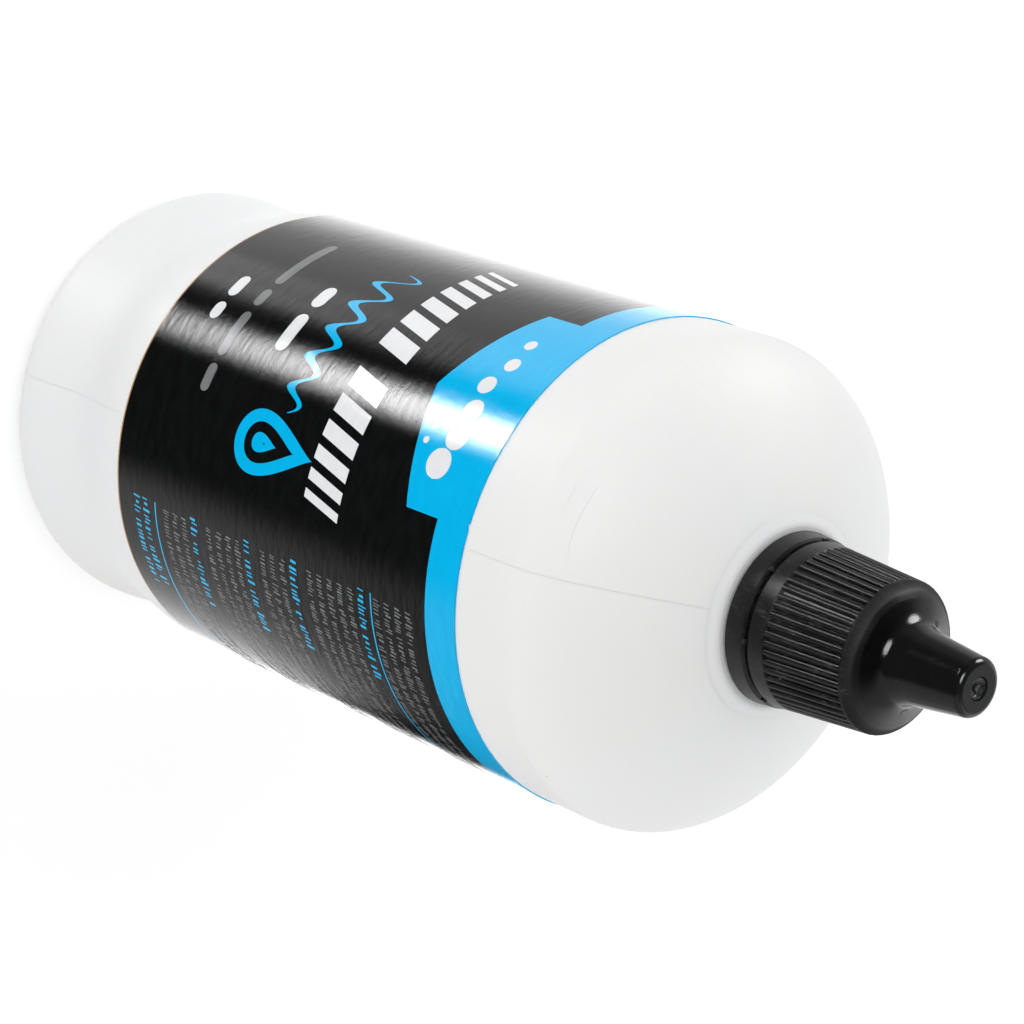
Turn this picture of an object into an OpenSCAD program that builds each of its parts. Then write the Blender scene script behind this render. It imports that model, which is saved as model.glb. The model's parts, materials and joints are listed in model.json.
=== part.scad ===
// Chain lube bottle: a blow-moulded squeeze bottle with a wrap label, a dropper plug,
// a ribbed screw cap with a spout, and a tamper-evident ring.
// It stands on its base. Z is the bottle's axis and Z = 0 is the surface it stands on.
// The front of the label faces -Y.

/* [Bottle] */
// Outer diameter of the straight panel, under the label
body_d = 53.7; // [40:0.1:80]
// Wall thickness of the blown shell
wall = 1; // [0.6:0.1:1.8]
// Diameter of the heel, the widest place below the waist
heel_d = 52; // [38:0.1:78]
// Diameter of the narrowest place of the waist
waist_d = 50.2; // [36:0.1:76]
// Height of the waist's narrowest place above the surface
waist_z = 12; // [9:0.5:16]
// Height from the surface to the start of the straight panel
panel_z = 23.5; // [18:0.5:40]
// Radius of the rounded corner between the heel and the base
heel_round = 3; // [1.5:0.1:5]
// Width of the flat ring that the bottle stands on
foot_w = 2.6; // [1.5:0.1:5]
// Height of the base's hollow above the surface
push_up = 3; // [1:0.1:5]
// Height of the domed shoulder, from the panel to the land under the cap
shoulder_h = 13; // [9:0.5:20]

/* [Label] */
// Height of the label
label_h = 60; // [30:1:100]
// Thickness of the label film
label_t = 0.15; // [0.1:0.05:0.4]
// Bare panel below the label
label_below = 1; // [0.5:0.1:5]
// Bare panel above the label
label_above = 7; // [1:0.5:15]
// Width of the slit where the label's two ends meet, at the back
label_slit = 1.5; // [0.5:0.1:6]

/* [Neck] */
// Outer diameter of the neck, without its thread
neck_d = 13; // [11:0.1:18]
// Wall thickness of the neck
neck_wall = 1.2; // [0.8:0.1:2]
// Height of the neck above the land
neck_h = 12.4; // [10:0.1:18]
// Height of the thread's ridge above the neck
thread_h = 0.5; // [0.3:0.05:0.9]
// How far the retaining bead stands out from the neck
bead_out = 1.5; // [0.8:0.1:2]
// Thickness of the retaining bead at its edge
bead_t = 0.45; // [0.3:0.05:0.8]

/* [Dropper plug] */
// Thickness of the flange that sits on the neck's rim
flange_t = 1; // [0.6:0.1:2]
// Depth of the plug's skirt in the neck
plug_depth = 8; // [5:0.5:9]
// Wall thickness of the plug's skirt
plug_wall = 1; // [0.6:0.1:1.5]
// Diameter of the nozzle where it leaves the flange
nozzle_root_d = 5.6; // [4.4:0.1:6.4]
// Diameter of the nozzle at its tip
nozzle_tip_d = 3.2; // [2.4:0.1:4]
// Height of the nozzle above the flange
nozzle_h = 8.6; // [5:0.1:12]
// Diameter of the hole that the lube drips from
drip_d = 1.3; // [0.8:0.1:1.6]

/* [Cap] */
// Wall thickness of the cap's skirt at its lower edge
skirt_wall = 1.2; // [1:0.05:2]
// How much wider the cap's bore is at its mouth than at its top, in radius
bore_draft = 0.4; // [0.1:0.05:0.6]
// How much narrower the skirt is at the dome than at its lower edge, in radius
cap_taper = 0.8; // [0.3:0.05:1]
// Height of the plain band at the skirt's lower edge
band_h = 2; // [1:0.1:4]
// Number of vertical ribs
rib_count = 54; // [24:1:72]
// How far the ribs stand out
rib_out = 0.35; // [0.15:0.05:0.4]
// Thickness of the cap's roof above the flange, at the dome's edge
roof_t = 0.95; // [0.8:0.05:2]
// Height of the dome, from the ribs to the spout's root
dome_h = 2.9; // [2.3:0.1:6]
// Diameter of the spout where its fillet ends
spout_root_d = 7.6; // [7:0.1:10]
// Diameter of the spout at its tip
spout_tip_d = 6.2; // [5.5:0.1:8]
// Height of the spout above the dome
spout_h = 8; // [6:0.1:10]
// Radius of the rounded edge round the spout's tip
tip_round = 0.75; // [0.3:0.05:1]
// Diameter of the recess round the gate in the spout's tip
gate_d = 2.5; // [1.5:0.1:3]
// Depth of that recess
gate_depth = 0.4; // [0.1:0.05:0.8]

/* [Tamper ring] */
// Height of the ring
ring_h = 2.45; // [1.8:0.05:4]
// Wall thickness of the ring at its foot
ring_wall = 0.95; // [0.75:0.05:1.6]
// How much narrower the ring is at its top than at its foot, in radius
ring_taper = 0.4; // [0.1:0.05:0.5]
// Gap between the ring and the cap's lower edge, which the bridges span
ring_gap = 0.3; // [0.2:0.05:0.8]
// Number of frangible bridges
bridge_count = 7; // [4:1:16]
// Turn of the first bridge from the right-hand side, anticlockwise from above
bridge_start = 8; // [0:1:45]
// Width of a bridge
bridge_w = 0.5; // [0.3:0.05:1]
// How far a bridge stands out past the ring's top edge
bridge_proud = 0.17; // [0:0.01:0.25]

/* [Fit] */
// Play between the cap's bore and the crest of the neck's thread
thread_play = 0.15; // [0.1:0.05:0.4]
// Play between the ring and the bead and neck inside it
ring_play = 0.2; // [0.1:0.05:0.5]
// Play between the ring and the land below it
land_play = 0.25; // [0.1:0.05:0.5]
// Play between the cap's roof and the plug's flange
roof_play = 0.15; // [0.1:0.05:0.4]
// Play round the nozzle inside the spout
nozzle_play = 0.5; // [0.3:0.05:0.8]
// Play of the seal pin in the drip hole, in radius
pin_play = 0.08; // [0.05:0.01:0.15]

/* [Hidden] */
$fn = 96;

// Facets of each curved stretch of an outline.
STEPS = 14;

body_r = body_d / 2;
heel_r = heel_d / 2;
waist_r = waist_d / 2;
neck_r = neck_d / 2;
neck_bore_r = neck_r - neck_wall;
panel_h = label_below + label_h + label_above;
panel_top = panel_z + panel_h;
land_z = panel_top + shoulder_h;
neck_top = land_z + neck_h;

// The ring turns on the neck, with a lip that hooks under the bead.
bead_r = neck_r + bead_out;
ring_bore_r = bead_r + ring_play;
ring_r = ring_bore_r + ring_wall;
ring_z = land_z + land_play;
ring_top = ring_z + ring_h;
lip_t = ring_h * 0.37;
bead_z = ring_z + lip_t + ring_play;

// The cap's lower edge is above the ring, and its roof rests over the plug's flange.
cap_z = ring_top + ring_gap;
flange_top = neck_top + flange_t;
roof_z = flange_top + roof_play;
dome_z = roof_z + roof_t;
spout_z = dome_z + dome_h;
cap_top = spout_z + spout_h;
cap_bore_top_r = neck_r + thread_h + thread_play;
cap_bore_r = cap_bore_top_r + bore_draft;
skirt_r = cap_bore_r + skirt_wall;
dome_r = skirt_r - cap_taper;
land_r = skirt_r + 0.7;
rib_z = cap_z + band_h;
nozzle_top = flange_top + nozzle_h;
spout_bore_root_r = nozzle_root_d / 2 + nozzle_play;
spout_bore_tip_r = nozzle_tip_d / 2 + nozzle_play;
spout_bore_top = nozzle_top + nozzle_play;
drip_r = drip_d / 2;

// Points along a cubic curve from a to d, with b and c as its handles.
function curve(a, b, c, d, n = STEPS) = [
    for (i = [0:n]) let (t = i / n, s = 1 - t)
        s * s * s * a + 3 * s * s * t * b + 3 * s * t * t * c + t * t * t * d
];

// Points along an arc round a centre, from one angle to another.
function arc(centre, r, from, to, n = STEPS) = [
    for (i = [0:n]) let (a = from + (to - from) * i / n) centre + r * [cos(a), sin(a)]
];

// The outline without its first point, to join it to the one before.
function after_first(pts) = [for (i = [1:len(pts) - 1]) pts[i]];

function reversed(pts) = [for (i = [len(pts) - 1:-1:0]) pts[i]];

// The outline moved to its left by a distance, seen along its direction.
function moved_left(pts, distance) = [
    for (i = [0:len(pts) - 1]) let (
        ahead = pts[min(i + 1, len(pts) - 1)],
        behind = pts[max(i - 1, 0)],
        along = (ahead - behind) / norm(ahead - behind)
    ) pts[i] + distance * [-along[1], along[0]]
];

// Outline of the bottle's outside, from the middle of the base to the land under the ring.
foot_r = heel_r - heel_round;
hollow_r = foot_r - foot_w;
outside = concat(
    curve([0, push_up], [hollow_r * 0.5, push_up], [hollow_r * 0.85, 0], [hollow_r, 0]),
    arc([foot_r, heel_round], heel_round, -90, 0),
    after_first(curve([heel_r, heel_round], [heel_r, heel_round + 3],
        [waist_r, waist_z - 3], [waist_r, waist_z])),
    after_first(curve([waist_r, waist_z], [waist_r, waist_z + (panel_z - waist_z) * 0.4],
        [body_r, panel_z - (panel_z - waist_z) * 0.4], [body_r, panel_z])),
    curve([body_r, panel_top], [body_r, panel_top + shoulder_h * 0.31],
        [body_r * 0.84, panel_top + shoulder_h * 0.57], [land_r, land_z], 2 * STEPS)
);

module revolved(pts) {
    rotate_extrude() polygon(pts);
}

// The shell, its neck, and the bead that holds the tamper ring down.
module bottle() {
    inside = moved_left(outside, wall);
    neck = [
        [neck_r, land_z],
        [neck_r, bead_z],
        [bead_r, bead_z],
        [bead_r, bead_z + bead_t],
        [neck_r, bead_z + bead_t + bead_out * 0.5],
        [neck_r, neck_top - 0.3],
        [neck_r - 0.3, neck_top],
        [neck_bore_r, neck_top],
        [neck_bore_r, land_z - wall]
    ];
    color("whitesmoke") revolved(concat(outside, neck, reversed(inside)));
}

// The printed film, wrapped round the panel with its ends at the back.
module label() {
    color([0.06, 0.06, 0.07]) difference() {
        translate([0, 0, panel_z + label_below]) cylinder(h = label_h, r = body_r + label_t, $fn = 180);
        translate([0, 0, panel_z]) cylinder(h = panel_h, r = body_r, $fn = 180);
        translate([-label_slit / 2, 0, panel_z]) cube([label_slit, body_d, panel_h]);
    }
}

// The insert in the neck: a skirt, a flange on the rim, and a nozzle with a narrow drip hole.
module dropper_plug() {
    skirt_z = neck_top - plug_depth;
    plug_bore_r = neck_bore_r - plug_wall;
    funnel_z = neck_top - 2.2;
    color([0.93, 0.93, 0.9]) revolved([
        [plug_bore_r, skirt_z],
        [neck_bore_r, skirt_z],
        [neck_bore_r, neck_top],
        [neck_r, neck_top],
        [neck_r, flange_top],
        [nozzle_root_d / 2, flange_top],
        [nozzle_tip_d / 2, nozzle_top - 0.3],
        [nozzle_tip_d / 2 - 0.3, nozzle_top],
        [drip_r, nozzle_top],
        [drip_r, flange_top],
        [plug_bore_r, funnel_z]
    ]);
}

// The ring left on the neck when the cap is first opened, with its frangible bridges.
module tamper_ring() {
    lip_r = neck_r + ring_play;
    bridge_h = ring_gap - 0.05;
    bridge_root = 0.45;
    bridge_in = ring_bore_r + 0.1;
    bridge_out = ring_r - ring_taper + bridge_proud;
    color([0.1, 0.1, 0.11]) union() {
        revolved([
            [lip_r + 0.4, ring_z],
            [ring_r - 0.15, ring_z],
            [ring_r, ring_z + 0.15],
            [ring_r - ring_taper / 2, ring_top - 0.3],
            [ring_r - ring_taper, ring_top],
            [ring_bore_r, ring_top],
            [ring_bore_r, ring_z + lip_t],
            [lip_r, ring_z + lip_t],
            [lip_r, ring_z + 0.4]
        ]);
        for (i = [0:bridge_count - 1])
            rotate(bridge_start + 360 * i / bridge_count)
                translate([bridge_in, -bridge_w / 2, ring_top - bridge_root])
                    cube([bridge_out - bridge_in, bridge_w, bridge_root + bridge_h]);
    }
}

// One upright rib, a thin round bar laid against the skirt's tapered wall.
module rib(root_low_r, root_high_r, low_z, high_z) {
    rib_r = rib_out;
    lean = atan((root_low_r - root_high_r) / (high_z - low_z));
    length = norm([root_low_r - root_high_r, high_z - low_z]);
    translate([root_low_r, 0, low_z]) rotate([0, -lean, 0]) cylinder(h = length, r = rib_r, $fn = 16);
}

// The screw cap: skirt with a plain band and ribs, dome, filleted spout, and a seal pin inside.
module cap() {
    band_r = skirt_r - cap_taper * band_h / (dome_z - cap_z);
    tip_r = spout_tip_d / 2;
    root_r = spout_root_d / 2;
    fillet_h = min(1.4, spout_h * 0.2);
    fillet_out = 0.36;
    fillet_r = root_r + fillet_out;
    gate_r = gate_d / 2;
    color([0.09, 0.09, 0.1]) union() {
        revolved(concat(
            [
                [cap_bore_r, cap_z],
                [skirt_r - 0.15, cap_z],
                [skirt_r, cap_z + 0.15],
                [band_r, rib_z],
                [band_r - rib_out, rib_z + 0.2],
                [dome_r - rib_out, dome_z - 0.2],
                [dome_r, dome_z]
            ],
            after_first(curve([dome_r, dome_z], [dome_r - 0.1, dome_z + dome_h * 0.42],
                [fillet_r + 0.3, spout_z - dome_h * 0.42], [fillet_r, spout_z], 2 * STEPS)),
            after_first(curve([fillet_r, spout_z], [fillet_r - 0.1, spout_z + fillet_h * 0.2],
                [root_r + 0.1, spout_z + fillet_h * 0.5], [root_r, spout_z + fillet_h])),
            arc([tip_r - tip_round, cap_top - tip_round], tip_round, 0, 90),
            [
                [gate_r, cap_top],
                [gate_r - 0.15, cap_top - gate_depth],
                [0, cap_top - gate_depth],
                [0, nozzle_top - 1],
                [drip_r - pin_play, nozzle_top - 1],
                [drip_r - pin_play, spout_bore_top],
                [spout_bore_tip_r, spout_bore_top],
                [spout_bore_root_r, roof_z],
                [cap_bore_top_r, roof_z]
            ]
        ));
        translate([0, 0, cap_top - gate_depth - 0.05]) cylinder(h = gate_depth * 0.6, r = gate_r * 0.3, $fn = 24);
        for (i = [0:rib_count - 1])
            rotate(360 * i / rib_count)
                rib(band_r - rib_out, dome_r - rib_out, rib_z - 0.1, dome_z + 0.1);
    }
}

bottle();
label();
dropper_plug();
tamper_ring();
cap();
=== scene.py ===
# %% [markdown]
# # A chain lube bottle
# The bottle stands on its base, with its axis along Z and the front of its label towards -Y.
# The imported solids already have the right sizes, so they stay as they are and get real finishes here.
# What is too thin or too fine for them is added as meshes: the printed label, the screw threads,
# the seam and the weld of the bottle's mould, a fillet and two scratches on the shoulder, the marks
# of the cap's mould, and the rounded lips of the gap between ring and cap.

# %% The frame
import json
import math
import random

import bpy
import numpy as np
from mathutils import Matrix, Vector

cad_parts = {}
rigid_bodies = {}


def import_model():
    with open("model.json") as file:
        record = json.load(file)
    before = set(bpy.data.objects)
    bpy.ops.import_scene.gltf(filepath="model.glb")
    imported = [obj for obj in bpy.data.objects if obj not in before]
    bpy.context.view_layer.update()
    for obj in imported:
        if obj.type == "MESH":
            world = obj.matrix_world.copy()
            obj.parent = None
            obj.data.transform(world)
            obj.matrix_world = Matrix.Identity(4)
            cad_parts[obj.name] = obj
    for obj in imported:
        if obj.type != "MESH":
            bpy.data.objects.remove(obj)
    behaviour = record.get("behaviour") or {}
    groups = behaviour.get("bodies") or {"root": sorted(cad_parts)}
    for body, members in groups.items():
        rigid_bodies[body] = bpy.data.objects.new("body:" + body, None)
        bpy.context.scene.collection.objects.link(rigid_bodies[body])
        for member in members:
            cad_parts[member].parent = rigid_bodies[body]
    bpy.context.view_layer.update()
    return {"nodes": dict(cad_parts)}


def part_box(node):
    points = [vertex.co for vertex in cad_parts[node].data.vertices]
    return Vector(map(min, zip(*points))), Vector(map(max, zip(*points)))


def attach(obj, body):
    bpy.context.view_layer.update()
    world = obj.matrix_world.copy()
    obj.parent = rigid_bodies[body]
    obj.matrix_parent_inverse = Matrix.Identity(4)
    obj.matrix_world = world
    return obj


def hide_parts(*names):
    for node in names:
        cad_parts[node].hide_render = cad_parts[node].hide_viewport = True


for leftover in list(bpy.data.objects):
    bpy.data.objects.remove(leftover)
bpy.context.scene.view_settings.view_transform = "Standard"
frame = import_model()
MM = 0.001

# %% [markdown]
# Every size below is read from the solids, so the dressing follows them when a size changes.
# A box gives the lowest and highest corner of a node, and half its width is the radius of a round one.

# %% Sizes taken from the solids
label_low, label_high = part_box("label")
ring_low, ring_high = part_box("tamper_ring")
cap_low, cap_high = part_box("cap")
plug_low, plug_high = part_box("dropper_plug")

FILM_R = label_high.x
LABEL_BOTTOM = label_low.z
LABEL_TOP = label_high.z
NECK_R = plug_high.x
CAP_BOTTOM = cap_low.z
CAP_TOP = cap_high.z
for name, size in (("label radius", FILM_R), ("label bottom", LABEL_BOTTOM), ("label top", LABEL_TOP),
                   ("neck radius", NECK_R), ("cap bottom", CAP_BOTTOM), ("cap top", CAP_TOP)):
    print(name, round(size / MM, 2), "mm")

# %% [markdown]
# ## The camera
# A long lens looks down past the label at the cap, and the picture is rolled far over, so the bottle
# seems to lie across it with the spout towards us. The camera looks at a point on the bottle's axis.
# Its direction is an angle round the bottle from the label's front and a height above the horizon.

# %% Camera
VIEW_ROUND = 22.0       # degrees from the label's front, towards +X
VIEW_ABOVE = 45.63      # degrees above the horizon
VIEW_ROLL = -110.39     # degrees, anticlockwise as the camera sees it
VIEW_DISTANCE = 335.2 * MM
AIM = Vector((-0.3 * MM, -0.1 * MM, 62.03 * MM))
LENS = 106.13           # mm on a 36 mm sensor


def direction(around, above):
    """A unit vector from the angle round from the label's front and the angle above the horizon."""
    a, e = math.radians(around), math.radians(above)
    return Vector((math.sin(a) * math.cos(e), -math.cos(a) * math.cos(e), math.sin(e)))


to_camera = direction(VIEW_ROUND, VIEW_ABOVE)
camera_data = bpy.data.cameras.new("camera")
camera_data.lens = LENS
camera_data.sensor_width = 36.0
camera = bpy.data.objects.new("camera", camera_data)
bpy.context.scene.collection.objects.link(camera)
camera.location = AIM + to_camera * VIEW_DISTANCE
upright = to_camera.to_track_quat("Z", "Y")
camera.rotation_mode = "QUATERNION"
camera.rotation_quaternion = upright @ Matrix.Rotation(math.radians(-VIEW_ROLL), 3, "Z").to_quaternion()
bpy.context.scene.camera = camera
print("camera at", [round(value / MM, 1) for value in camera.location])

# %% [markdown]
# ## Helpers for round things
# Almost everything here sits on a surface that turns about the bottle's axis. So points are given
# the way a label printer thinks: degrees round from the front, a height, and a distance from the axis.

# %% Points round the axis and new pieces


def around_axis(angle, height, radius):
    """The point at an angle in degrees from the label's front, a height and a radius."""
    a = math.radians(angle)
    return (radius * math.sin(a), -radius * math.cos(a), height)


def loop_faces(low, high, count):
    """Faces between two closed rows of points, each given by the number of its first point."""
    return [(low + i, low + (i + 1) % count, high + (i + 1) % count, high + i) for i in range(count)]


CREASE = 35.0            # degrees, edges sharper than this stay crisp


def add_piece(name, points, faces, materials, body, slot, face_material=None, smooth=True):
    """A new mesh object that rides on a body and takes the materials it is given. Its slot argument is not
    used.
    """
    mesh = bpy.data.meshes.new(name)
    mesh.from_pydata([tuple(point) for point in points], [], faces)
    mesh.validate()
    piece = bpy.data.objects.new(name, mesh)
    bpy.context.scene.collection.objects.link(piece)
    for material in materials:
        mesh.materials.append(material)
    for polygon in mesh.polygons:
        polygon.use_smooth = smooth
        if face_material:
            polygon.material_index = face_material[polygon.index]
    mesh.set_sharp_from_angle(angle=math.radians(CREASE))
    mesh.update()
    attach(piece, body)
    return piece


# %% [markdown]
# ## Shared effects
# Several finishes use the same effects, so each is a node group with named inputs that every
# material sets for itself: a fine grain, large soft mottling, scattered specks, and rubbed scuffs.
# The groups only put out masks and heights. The shader itself stays in each material.

# %% Helpers for node groups
FLOAT = "NodeSocketFloat"
VECTOR = "NodeSocketVector"


def new_group(name, inputs, outputs):
    """A node group, its input sockets and its output node. Inputs are (name, type, default)."""
    group = bpy.data.node_groups.new(name, "ShaderNodeTree")
    for label, kind, default in inputs:
        socket = group.interface.new_socket(name=label, in_out="INPUT", socket_type=kind)
        if default is not None:
            socket.default_value = default
    for label, kind in outputs:
        group.interface.new_socket(name=label, in_out="OUTPUT", socket_type=kind)
    return group, group.nodes.new("NodeGroupInput").outputs, group.nodes.new("NodeGroupOutput")


def put(tree, target, value):
    """Links a socket to an input, or writes a plain value in it."""
    if isinstance(value, bpy.types.NodeSocket):
        tree.links.new(value, target)
    else:
        target.default_value = value


def fill(tree, node, **values):
    """Sets or links a node's inputs. An underscore in a name stands for a space."""
    for key, value in values.items():
        put(tree, node.inputs[key.replace("_", " ")], value)


def math_node(tree, operation, *values, clamp=False):
    """A Math node with its values set or linked, and its result."""
    node = tree.nodes.new("ShaderNodeMath")
    node.operation = operation
    node.use_clamp = clamp
    for socket, value in zip(node.inputs, values):
        put(tree, socket, value)
    return node.outputs[0]


def total(tree, *values):
    """The sum of several values."""
    result = values[0]
    for value in values[1:]:
        result = math_node(tree, "ADD", result, value)
    return result


def product(tree, *values):
    """The product of several values."""
    result = values[0]
    for value in values[1:]:
        result = math_node(tree, "MULTIPLY", result, value)
    return result


def stepped(tree, value, low, high, to_low=0.0, to_high=1.0):
    """A smooth step of a value from one level to another. It may also run downwards."""
    node = tree.nodes.new("ShaderNodeMapRange")
    node.interpolation_type = "SMOOTHSTEP"
    for socket, number in zip(node.inputs, (value, low, high, to_low, to_high)):
        put(tree, socket, number)
    return node.outputs[0]


def scaled_vector(tree, vector, scale):
    """A vector times a number or another vector."""
    node = tree.nodes.new("ShaderNodeVectorMath")
    node.operation = "MULTIPLY"
    put(tree, node.inputs[0], vector)
    put(tree, node.inputs[1], scale)
    return node.outputs[0]


def noise(tree, vector, detail, roughness):
    """A Noise texture whose features are one unit of its vector wide."""
    node = tree.nodes.new("ShaderNodeTexNoise")
    fill(tree, node, Vector=vector, Scale=1.0, Detail=detail, Roughness=roughness)
    return node.outputs[0]


# %% Group: unrolled coordinates
# Where a point lies when the surface is unrolled: millimetres round from the front, up, and from the axis.
unrolled, given, go = new_group(
    "unrolled",
    [("Vector", VECTOR, None), ("Radius", FLOAT, FILM_R / MM)],
    [("Vector", VECTOR), ("Height", FLOAT)],
)
split = unrolled.nodes.new("ShaderNodeSeparateXYZ")
unrolled.links.new(given["Vector"], split.inputs[0])
towards_front = product(unrolled, split.outputs["Y"], -1.0)
turned = math_node(unrolled, "ARCTAN2", split.outputs["X"], towards_front)
arc_mm = product(unrolled, turned, given["Radius"])
height_mm = math_node(unrolled, "DIVIDE", split.outputs["Z"], MM)
flat_x = product(unrolled, split.outputs["X"], split.outputs["X"])
flat_y = product(unrolled, split.outputs["Y"], split.outputs["Y"])
from_axis = math_node(unrolled, "SQRT", total(unrolled, flat_x, flat_y))
radius_mm = math_node(unrolled, "DIVIDE", from_axis, MM)
joined = unrolled.nodes.new("ShaderNodeCombineXYZ")
for socket, value in zip(joined.inputs, (arc_mm, height_mm, radius_mm)):
    unrolled.links.new(value, socket)
fill(unrolled, go, Vector=joined.outputs[0], Height=height_mm)
print("group", unrolled.name, "gives", [item.name for item in unrolled.interface.items_tree])

# %% Group: fine grain
# The small unevenness of a moulded or laminated surface. Its size is set as features per millimetre,
# each way. Height is the fine grain, and Mottle is a softer one about eight times as wide.
fine_grain, given, go = new_group(
    "fine_grain",
    [("Vector", VECTOR, None), ("Per mm", VECTOR, (2.0, 2.0, 2.0))],
    [("Height", FLOAT), ("Mottle", FLOAT)],
)
fine = noise(fine_grain, scaled_vector(fine_grain, given["Vector"], given["Per mm"]), 3.0, 0.6)
broad_scale = scaled_vector(fine_grain, given["Per mm"], (0.12, 0.12, 0.12))
broad = noise(fine_grain, scaled_vector(fine_grain, given["Vector"], broad_scale), 2.0, 0.5)
fill(fine_grain, go, Height=fine, Mottle=stepped(fine_grain, broad, 0.3, 0.7))

# %% Group: specks
# Dust and dark specks: one dot in some of the cells of a Voronoi texture, each a different size.
specks, given, go = new_group(
    "specks",
    [("Vector", VECTOR, None), ("Cells per mm", FLOAT, 0.5),
     ("Dot", FLOAT, 0.1), ("Share", FLOAT, 0.3)],
    [("Mask", FLOAT)],
)
cells = specks.nodes.new("ShaderNodeTexVoronoi")
fill(specks, cells, Vector=given["Vector"], Scale=given["Cells per mm"])
chance = specks.nodes.new("ShaderNodeSeparateColor")
specks.links.new(cells.outputs["Color"], chance.inputs[0])
dot_size = product(specks, given["Dot"], total(specks, chance.outputs["Green"], 0.25))
dot = stepped(specks, cells.outputs["Distance"], dot_size, product(specks, dot_size, 0.4))
kept = math_node(specks, "LESS_THAN", chance.outputs["Red"], given["Share"])
fill(specks, go, Mask=product(specks, dot, kept))

# %% Group: scuffs
# Rubbed places, streaked one way and broken up, strongest where a broad noise is high.
scuffs, given, go = new_group(
    "scuffs",
    [("Vector", VECTOR, None), ("Per mm", VECTOR, (3.0, 0.6, 1.0)),
     ("Amount", FLOAT, 0.5)],
    [("Mask", FLOAT)],
)
streaks = noise(scuffs, scaled_vector(scuffs, given["Vector"], given["Per mm"]), 4.0, 0.65)
patch_scale = scaled_vector(scuffs, given["Per mm"], (0.15, 0.3, 0.3))
patches = noise(scuffs, scaled_vector(scuffs, given["Vector"], patch_scale), 2.0, 0.5)
both = product(scuffs, stepped(scuffs, streaks, 0.45, 0.75), stepped(scuffs, patches, 0.42, 0.68))
fill(scuffs, go, Mask=math_node(scuffs, "MULTIPLY", both, given["Amount"], clamp=True))
print("shared groups:", sorted(group.name for group in bpy.data.node_groups))

# %% Helpers for materials


def new_material(name):
    """A material, its node tree and shader, the object's coordinates, and the same in millimetres."""
    material = bpy.data.materials.new(name)
    material.use_nodes = True
    tree = material.node_tree
    shader = tree.nodes["Principled BSDF"]
    place = tree.nodes.new("ShaderNodeTexCoord").outputs["Object"]
    print("material", name)
    return material, tree, shader, place, scaled_vector(tree, place, (1 / MM, 1 / MM, 1 / MM))


def use_group(tree, group, **values):
    """A group placed in a material, and the sockets of its outputs."""
    node = tree.nodes.new("ShaderNodeGroup")
    node.node_tree = group
    fill(tree, node, **values)
    return node.outputs


def mix_colour(tree, factor, first, second):
    """One colour over another by a mask."""
    node = tree.nodes.new("ShaderNodeMix")
    node.data_type = "RGBA"
    fill(tree, node, Factor=factor, A=first, B=second)
    return node.outputs["Result"]


def add_bump(tree, shader, height, depth_mm):
    """A bump of a real depth in millimetres on the shader's normal."""
    node = tree.nodes.new("ShaderNodeBump")
    fill(tree, node, Strength=1.0, Distance=depth_mm * MM, Height=height)
    fill(tree, shader, Normal=node.outputs["Normal"])


# %% [markdown]
# ## Natural polyethylene
# The bottle is blown from undyed polyethylene, which is milky: light goes a little way into it,
# so its shade is soft and its edges glow. A low subsurface weight gives that. The blown skin is
# satin, a little wavy, and never one even white: it is faintly warmer where the wall is thicker.

# %% Material: natural polyethylene


def polyethylene(name, pale, warm, wave_depth):
    """The milky satin plastic of the bottle and of the plug. Its waves have a depth in millimetres."""
    material, tree, shader, place, place_mm = new_material(name)
    coordinates = use_group(tree, unrolled, Vector=place)
    grain = use_group(tree, fine_grain, Vector=place_mm, Per_mm=(3.5, 3.5, 3.5))
    wave = use_group(tree, fine_grain, Vector=coordinates["Vector"], Per_mm=(0.16, 0.1, 0.1))
    # Small dark grey specks, scattered over the plastic as colour only.
    dark_specks = use_group(tree, specks, Vector=place_mm, Cells_per_mm=0.12, Dot=0.022, Share=0.22)
    rubs = use_group(tree, scuffs, Vector=coordinates["Vector"], Per_mm=(0.5, 2.2, 1.0), Amount=0.5)
    clouds = mix_colour(tree, wave["Mottle"], pale, warm)
    dark = product(tree, dark_specks["Mask"], 0.55)
    dotted = mix_colour(tree, dark, clouds, (0.25, 0.25, 0.24, 1.0))
    satin = total(tree, product(tree, grain["Mottle"], 0.06), 0.44)
    rubbed = total(tree, satin, product(tree, rubs["Mask"], 0.12))
    uneven = total(tree, product(tree, wave["Height"], wave_depth),
                   product(tree, grain["Height"], 0.006))
    add_bump(tree, shader, uneven, 1.0)
    fill(tree, shader, Base_Color=dotted, Roughness=rubbed, IOR=1.54, Specular_IOR_Level=0.25)
    fill(tree, shader, Subsurface_Weight=0.3, Subsurface_Radius=(1.0, 0.9, 0.8), Subsurface_Scale=0.6 * MM)
    return material


milky, milky_warm = (0.915, 0.925, 0.935, 1.0), (0.915, 0.915, 0.9, 1.0)
bottle_plastic = polyethylene("natural_polyethylene", milky, milky_warm, 0.12)
pale, pale_warm = (0.99, 0.99, 0.99, 1.0), (0.97, 0.97, 0.97, 1.0)
scratched_plastic = polyethylene("scratched_polyethylene", pale, pale_warm, 0.02)
plug_plastic = polyethylene("plug_polyethylene", (0.80, 0.80, 0.77, 1.0), (0.78, 0.77, 0.72, 1.0), 0.02)

# %% [markdown]
# ## Printed film
# The label is black film with a clear glossy laminate over every ink, so all the inks share one
# gloss and one grain. The laminate's skin is drawn out along the roll, so its grain is stretched
# round the bottle, and that is what breaks the edges of a lamp's reflection into fine fringes.

# %% Material: printed film


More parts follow.
